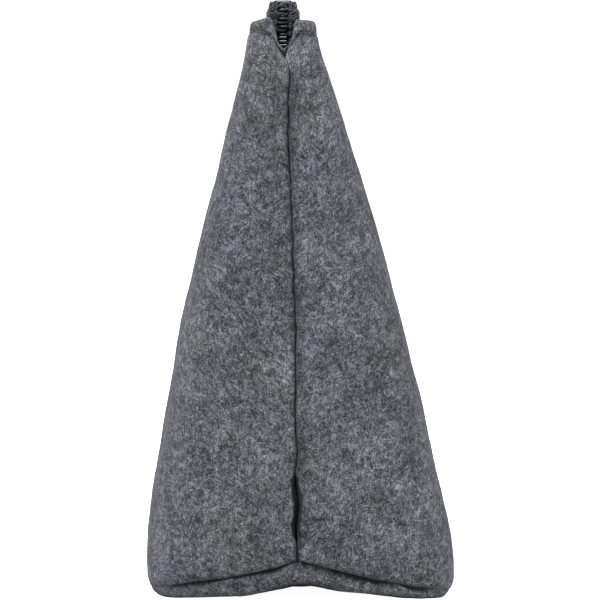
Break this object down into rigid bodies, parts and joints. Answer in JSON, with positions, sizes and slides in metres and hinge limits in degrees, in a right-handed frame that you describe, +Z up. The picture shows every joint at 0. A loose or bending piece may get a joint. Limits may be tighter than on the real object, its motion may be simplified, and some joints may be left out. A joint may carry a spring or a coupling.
{
  "type": "soft zipper pouch",
  "caption": "Stand-up soft felt pouch for folded spectacles, A-shaped end on, with boxed bottom corners and a zipper along its top ridge.",
  "frame": {"origin": "centre of the base, on the surface the pouch stands on", "axes": "+X along the zipper towards the end where it opens to, +Y from the front wall to the back wall, +Z up"},
  "size_m": [0.1898, 0.0492, 0.0991],
  "materials": {
    "felt": "matt melange grey pressed felt",
    "tape": "matt black woven herringbone",
    "coil": "semi-gloss black nylon",
    "cord": "matt black braided cord",
    "zip_thread": "black polyester thread",
    "felt_thread": "grey polyester thread",
    "slider_metal": "satin gunmetal",
    "spring_metal": "brushed"
  },
  "bodies": {
    "base": {"base_panel": "felt", "side_seam_thread_right": "felt_thread", "side_seam_thread_left": "felt_thread", "corner_seam_thread_right": "felt_thread", "corner_seam_thread_left": "felt_thread"},
    "front_wall": {"front_panel": "felt", "topstitch_front": "felt_thread", "zipper_tape_front": "tape", "zipper_coil_front": "coil", "coil_cord_front": "cord", "coil_lock_thread_front": "zip_thread", "top_stop_front": "slider_metal"},
    "back_wall": {"back_panel": "felt", "topstitch_back": "felt_thread", "zipper_tape_back": "tape", "zipper_coil_back": "coil", "coil_cord_back": "cord", "coil_lock_thread_back": "zip_thread", "top_stop_back": "slider_metal"},
    "slider": {"slider_body": "slider_metal", "slider_crown": "slider_metal", "slider_lock_spring": "spring_metal"},
    "pull": {"slider_pull": "slider_metal"}
  },
  "joints": [
    {"name": "front_wall_fold", "type": "hinge", "parent": "base", "child": "front_wall", "pos_m": [0, -0.0248, 0.0027], "axis": [1, 0, 0], "range_deg": [0, 12], "deforming": ["zipper_tape_front", "zipper_tape_back", "zipper_coil_front", "zipper_coil_back", "coil_cord_front", "coil_cord_back", "coil_lock_thread_front", "coil_lock_thread_back"]},
    {"name": "back_wall_fold", "type": "hinge", "parent": "base", "child": "back_wall", "pos_m": [0, 0.0248, 0.0027], "axis": [1, 0, 0], "range_deg": [-12, 0]},
    {"name": "slider_travel", "type": "slide", "parent": "base", "child": "slider", "axis": [1, 0, 0], "range_m": [0, 0.152]},
    {"name": "pull_swing", "type": "hinge", "parent": "slider", "child": "pull", "pos_m": [-0.0765, -0.00264, 0.09788], "axis": [0, 1, 0], "range_deg": [0, 175]}
  ],
  "couplings": [
    {"joint": "back_wall_fold", "follows": "front_wall_fold", "ratio": -1},
    {"joint": "slider_travel", "follows": "front_wall_fold", "m_per_rad": 0.7257}
  ]
}
